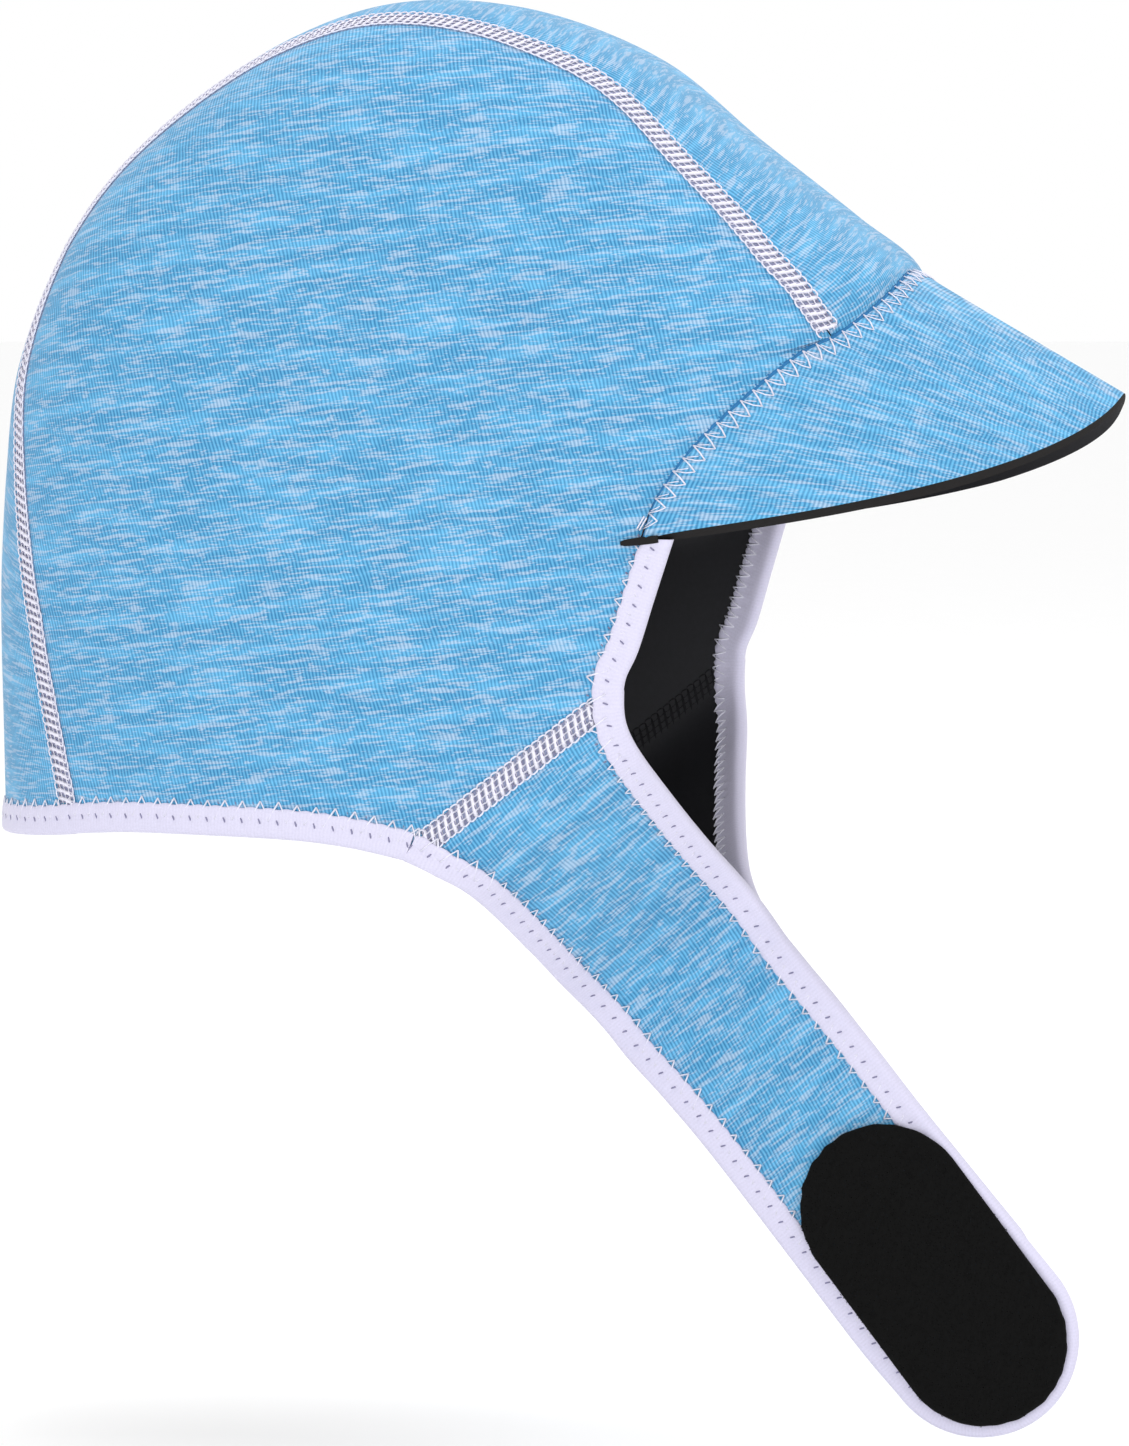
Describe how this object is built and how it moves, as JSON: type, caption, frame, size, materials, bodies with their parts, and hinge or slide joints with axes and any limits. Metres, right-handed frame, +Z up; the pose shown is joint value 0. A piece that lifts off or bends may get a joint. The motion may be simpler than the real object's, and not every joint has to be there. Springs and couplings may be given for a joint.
{
  "type": "peaked neoprene diving hood",
  "caption": "Close-fitting neoprene diving hood with a centre panel, two side panels, a short peak, bound edges and two chin straps with touch-fastening pads.",
  "frame": {"origin": "inside of the crown's top, where the hood rests on the head", "axes": "+X towards the face, +Y to the wearer's left, +Z up"},
  "size_m": [0.2885, 0.1308, 0.3551],
  "materials": {
    "heather_neoprene": "heathered blue knit jersey over neoprene foam with a smooth black lining",
    "elastic_binding": "matt lavender-white folded elastic with fine ribs",
    "pile": "matt black looped pile",
    "hooks": "black moulded hooks on a woven tape"
  },
  "bodies": {
    "root": {"centre_panel": "heather_neoprene", "side_panel_right": "heather_neoprene", "side_panel_left": "heather_neoprene", "strap_right": "heather_neoprene", "strap_left": "heather_neoprene", "peak": "heather_neoprene", "hem_binding": "elastic_binding", "strap_binding_right": "elastic_binding", "strap_binding_left": "elastic_binding", "loop_pad": "pile", "hook_pad": "hooks"}
  },
  "joints": []
}
